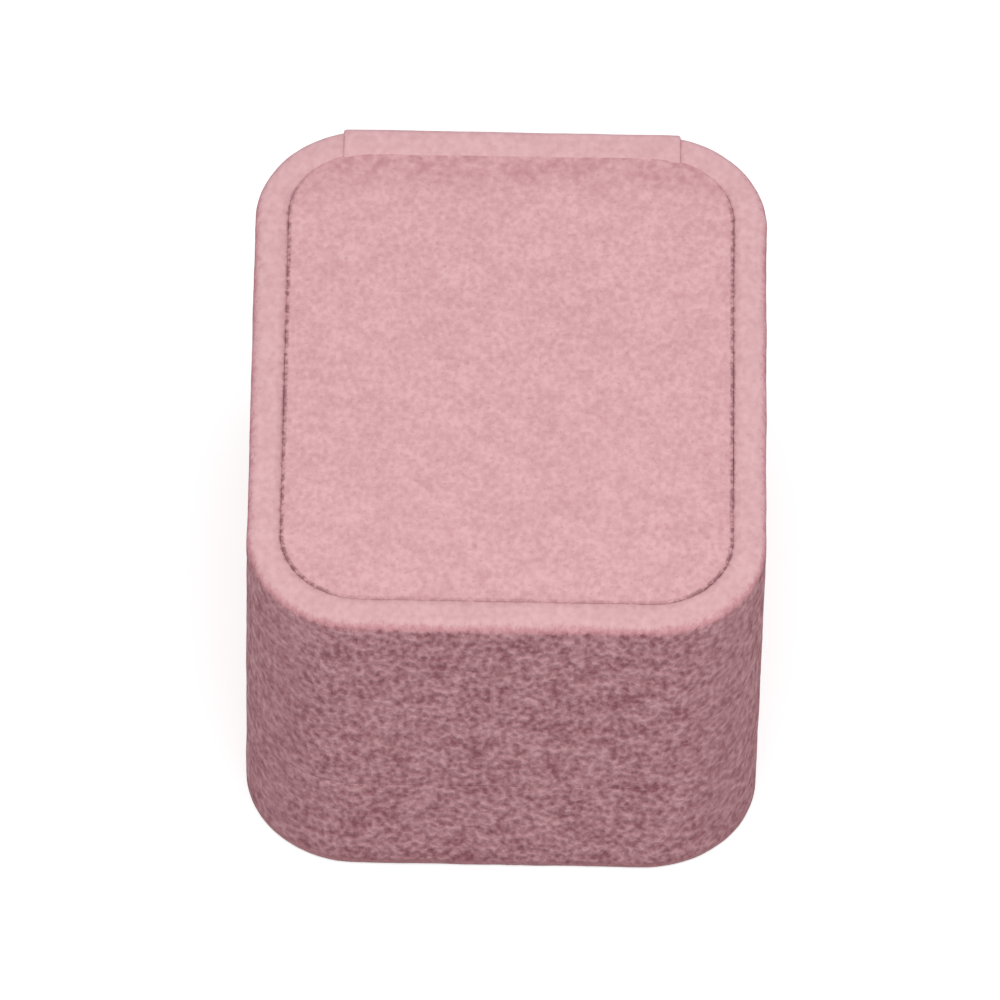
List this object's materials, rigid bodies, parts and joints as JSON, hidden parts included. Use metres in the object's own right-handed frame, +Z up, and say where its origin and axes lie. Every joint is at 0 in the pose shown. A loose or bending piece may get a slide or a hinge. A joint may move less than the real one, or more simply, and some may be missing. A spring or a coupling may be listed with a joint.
{
  "type": "jewelry box",
  "caption": "Hinged jewellery box with rounded corners, wrapped in velvet, with an inset lid panel, a snap hinge under a velvet spine and a slot between two foam pads that holds a ring.",
  "frame": {"origin": "middle of the underside of the shut box", "axes": "+Z up, +Y towards the hinge at the back, +X to the right when seen from the front"},
  "size_m": [0.06, 0.0741, 0.0461],
  "materials": {
    "velvet": "dusty pink flocked velvet, matt, with a short streaky nap",
    "panel_velvet": "dusty pink flocked velvet, matt, finely mottled",
    "pad_velvet": "dusty pink velvet over foam",
    "satin": "pale rose satin with a soft sheen",
    "plastic": "moulded, off-white",
    "greyboard": "grey bookbinding board",
    "card": "lining card",
    "foam": "open-cell foam",
    "steel": "zinc-plated sheet steel"
  },
  "bodies": {
    "base": {"base_frame": "plastic", "base_side_velvet": "velvet", "bottom_board": "greyboard", "bottom_velvet": "panel_velvet", "base_lining_card": "card", "base_lining_satin": "satin", "insert_board": "greyboard", "front_pad_foam": "foam", "front_pad_velvet": "pad_velvet", "rear_pad_foam": "foam", "rear_pad_velvet": "pad_velvet", "base_hinge_leaf": "steel", "base_hinge_rivets": "steel", "hinge_pin": "steel", "snap_spring": "steel", "spine_velvet": "velvet"},
    "lid": {"lid_frame": "plastic", "lid_side_velvet": "velvet", "top_board": "greyboard", "top_velvet": "panel_velvet", "lid_lining_card": "card", "lid_lining_satin": "satin", "lid_cushion_board": "greyboard", "lid_cushion_foam": "foam", "lid_cushion_satin": "satin", "lid_hinge_leaf": "steel", "lid_hinge_rivets": "steel"}
  },
  "joints": [
    {"name": "lid_hinge", "type": "hinge", "parent": "base", "child": "lid", "pos_m": [0, 0.0352, 0.0156], "axis": [-1, 0, 0], "range_deg": [0, 105], "deforming": ["spine_velvet", "snap_spring"]}
  ]
}
